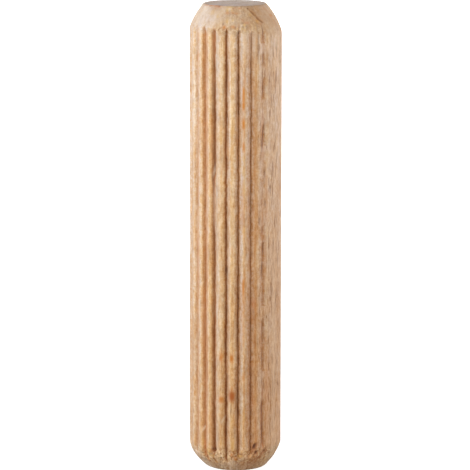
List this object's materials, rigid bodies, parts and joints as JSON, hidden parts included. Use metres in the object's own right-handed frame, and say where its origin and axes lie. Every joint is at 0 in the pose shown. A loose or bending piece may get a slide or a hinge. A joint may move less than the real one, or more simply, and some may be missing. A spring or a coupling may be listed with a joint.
{
  "type": "fluted wooden dowel pin",
  "caption": "Round wooden joining pin with glue flutes along its sides, a plain strip and crowned, chamfered ends; pressed with glue into facing holes to line up and join boards.",
  "frame": {"origin": "centre of the lower flat end, where the pin stands", "axes": "+Z along the pin towards its upper end; -Y is the front, where the flutes are full; the plain strip without flutes faces +X"},
  "size_m": [0.008, 0.008, 0.0405],
  "materials": {
    "wood": "matte"
  },
  "bodies": {
    "root": {"dowel": "wood"}
  },
  "joints": []
}
